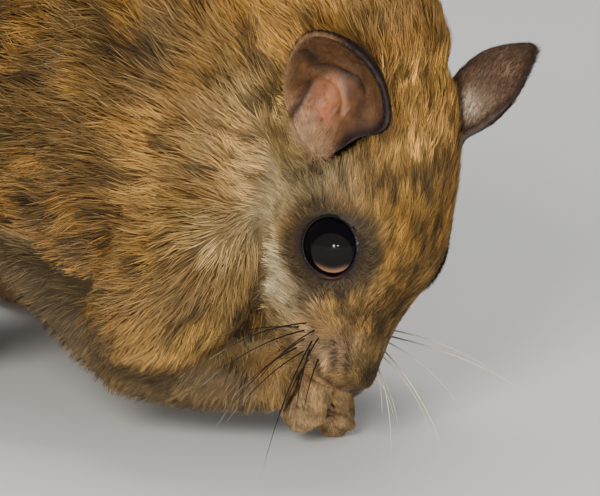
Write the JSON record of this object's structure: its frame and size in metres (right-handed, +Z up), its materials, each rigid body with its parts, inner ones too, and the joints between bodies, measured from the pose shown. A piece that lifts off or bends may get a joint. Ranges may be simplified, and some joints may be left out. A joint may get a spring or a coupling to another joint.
{
  "type": "flying squirrel",
  "caption": "Still life-size flying squirrel, crouched with bowed head and hands at its mouth, gliding membranes folded and flat tail laid out behind.",
  "frame": {"origin": "centre of the bounding box on the floor plane", "axes": "+X the way the animal faces, +Y its left side, +Z up; feet, lower hand and tail rest at z = 0"},
  "size_m": [0.1884, 0.0524, 0.0613],
  "materials": {
    "fur": "soft dense fur, golden brown with grey underfur",
    "bare_skin": "thin bare skin, satin",
    "eye": "wet gloss",
    "claws": "dark horn, satin"
  },
  "bodies": {
    "root": {"head": "fur", "ear_left": "bare_skin", "ear_right": "bare_skin", "eye_left": "eye", "eye_right": "eye", "neck": "fur", "torso": "fur", "patagium_left": "fur", "patagium_right": "fur", "upper_arm_left": "fur", "upper_arm_right": "fur", "forearm_left": "fur", "forearm_right": "fur", "hand_left": "bare_skin", "hand_right": "bare_skin", "thigh_left": "fur", "thigh_right": "fur", "shank_left": "fur", "shank_right": "fur", "foot_left": "bare_skin", "foot_right": "bare_skin", "tail": "fur"}
  },
  "joints": []
}
